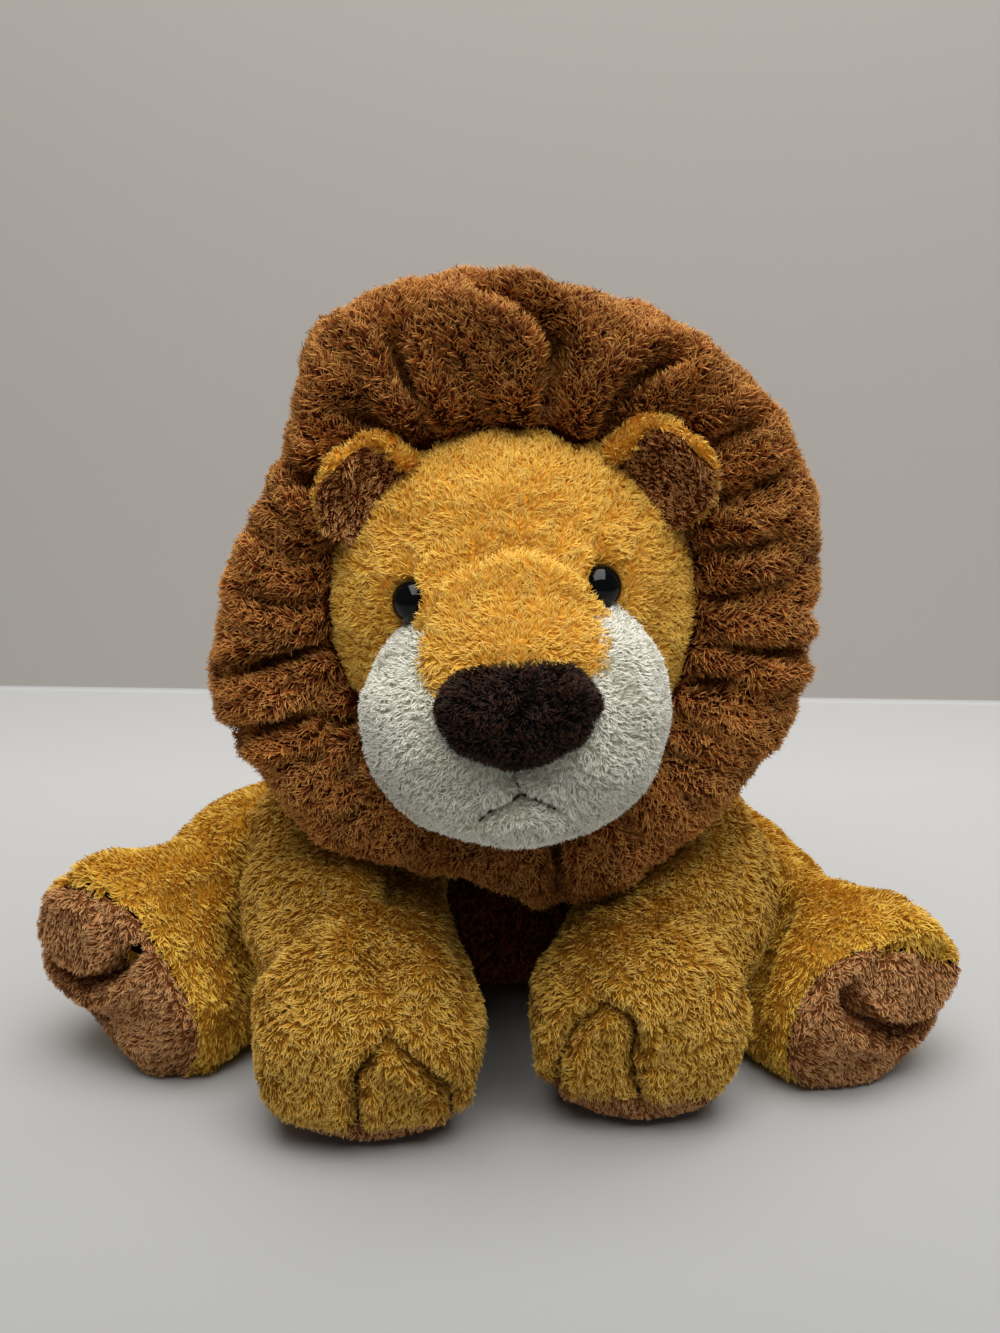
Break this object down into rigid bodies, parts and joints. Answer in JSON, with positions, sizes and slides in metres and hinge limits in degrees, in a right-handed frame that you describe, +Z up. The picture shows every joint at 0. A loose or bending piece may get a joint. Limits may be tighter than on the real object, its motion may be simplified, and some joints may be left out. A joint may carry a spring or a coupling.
{
  "type": "plush lion",
  "caption": "Sitting plush lion with a gathered ring mane, splayed stuffed legs, button eyes, a sewn muzzle and a tufted tail.",
  "frame": {"origin": "middle of the flat seat under the torso, on the floor", "axes": "+Z up; the lion looks along -Y; +X is to the right of someone who faces the lion"},
  "size_m": [0.262, 0.2656, 0.207],
  "materials": {
    "golden_plush": "short curly pile, mustard gold",
    "rust_plush": "long pile, rust brown with lighter tips",
    "brown_plush": "short brushed pile, warm brown",
    "white_plush": "short pile, off white",
    "nose_plush": "short dense pile, very dark brown",
    "eye_black": "polished black",
    "washer": "moulded",
    "filling": "loose fibre",
    "pellet_pouch": "plain woven bag filled with pellets",
    "thread": "twisted, dark brown"
  },
  "bodies": {
    "torso": {"body_cover": "golden_plush", "pellet_pouch": "pellet_pouch", "body_filling": "filling"},
    "neck": {"neck": "golden_plush"},
    "head": {"mane_ruff": "rust_plush", "mane_wadding": "filling", "eye_left": "eye_black", "eye_washer_left": "washer", "eye_right": "eye_black", "eye_washer_right": "washer", "head_cover": "golden_plush", "head_filling": "filling", "muzzle_cover": "white_plush", "muzzle_filling": "filling", "nose_bridge": "golden_plush", "nose": "nose_plush", "mouth_stitch": "thread", "ear_left": "golden_plush", "ear_lining_left": "brown_plush", "ear_right": "golden_plush", "ear_lining_right": "brown_plush"},
    "front_leg_left": {"front_leg_left": "golden_plush", "front_filling_left": "filling", "front_sole_left": "brown_plush", "front_toe_stitch_left": "thread"},
    "front_leg_right": {"front_leg_right": "golden_plush", "front_filling_right": "filling", "front_sole_right": "brown_plush", "front_toe_stitch_right": "thread"},
    "hind_leg_left": {"hind_leg_left": "golden_plush", "hind_filling_left": "filling", "hind_sole_left": "brown_plush", "hind_toe_stitch_left": "thread"},
    "hind_leg_right": {"hind_leg_right": "golden_plush", "hind_filling_right": "filling", "hind_sole_right": "brown_plush", "hind_toe_stitch_right": "thread"},
    "tail": {"tail": "golden_plush", "tail_tuft": "rust_plush"}
  },
  "joints": [
    {"name": "neck_nod", "type": "hinge", "parent": "torso", "child": "neck", "pos_m": [0, -0.036, 0.12], "axis": [-1, 0, 0], "range_deg": [0, 20]},
    {"name": "head_tilt", "type": "hinge", "parent": "neck", "child": "head", "pos_m": [0, -0.036, 0.12], "axis": [0, 1, 0], "range_deg": [-10, 10]},
    {"name": "shoulder_left", "type": "hinge", "parent": "torso", "child": "front_leg_left", "pos_m": [-0.043, -0.046, 0.058], "axis": [0, 0, -1], "range_deg": [-3, 5]},
    {"name": "shoulder_right", "type": "hinge", "parent": "torso", "child": "front_leg_right", "pos_m": [0.043, -0.046, 0.058], "axis": [0, 0, 1], "range_deg": [-3, 5]},
    {"name": "hip_left", "type": "hinge", "parent": "torso", "child": "hind_leg_left", "pos_m": [-0.05, 0.006, 0.033], "axis": [0, 0, -1], "range_deg": [0, 45]},
    {"name": "hip_right", "type": "hinge", "parent": "torso", "child": "hind_leg_right", "pos_m": [0.05, 0.006, 0.033], "axis": [0, 0, 1], "range_deg": [0, 45]},
    {"name": "tail_swing", "type": "hinge", "parent": "torso", "child": "tail", "pos_m": [0, 0.054, 0.014], "axis": [0, 0, 1], "range_deg": [-15, 60]}
  ]
}
